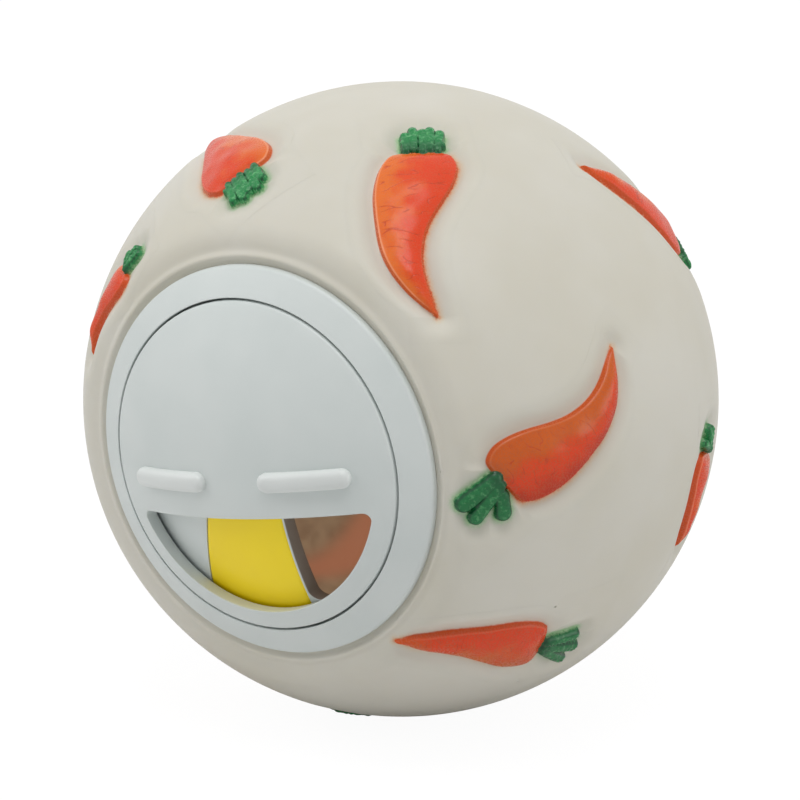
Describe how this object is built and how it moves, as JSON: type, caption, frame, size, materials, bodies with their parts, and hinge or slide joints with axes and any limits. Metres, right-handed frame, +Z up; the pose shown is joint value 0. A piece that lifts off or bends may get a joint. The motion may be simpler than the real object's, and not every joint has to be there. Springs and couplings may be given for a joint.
{
  "type": "treat dispensing ball",
  "caption": "Soft hollow treat ball for small pets, with painted carrots moulded in hollows of its skin and a pressed-in insert whose domed door turns to open a half-moon outlet.",
  "frame": {"origin": "on the ground, straight under the ball's centre", "axes": "+Z up; -Y is the way the mouth and its door face; +X is to the right as seen from the mouth's side"},
  "size_m": [0.0702, 0.0684, 0.0702],
  "materials": {
    "soft_vinyl": "matte, slightly translucent soft vinyl with painted carrots",
    "insert_grey": "fine satin texture, injection moulded",
    "inlay_yellow": "smooth satin"
  },
  "bodies": {
    "ball": {"vinyl_shell": "soft_vinyl", "bezel_ring": "insert_grey", "fixed_plate": "insert_grey", "indicator_inlay": "inlay_yellow"},
    "turning_door": {"door": "insert_grey"}
  },
  "joints": [
    {"name": "door_turn", "type": "hinge", "parent": "ball", "child": "turning_door", "pos_m": [0, -0.028, 0.0351], "axis": [0, -1, 0], "continuous": true}
  ]
}
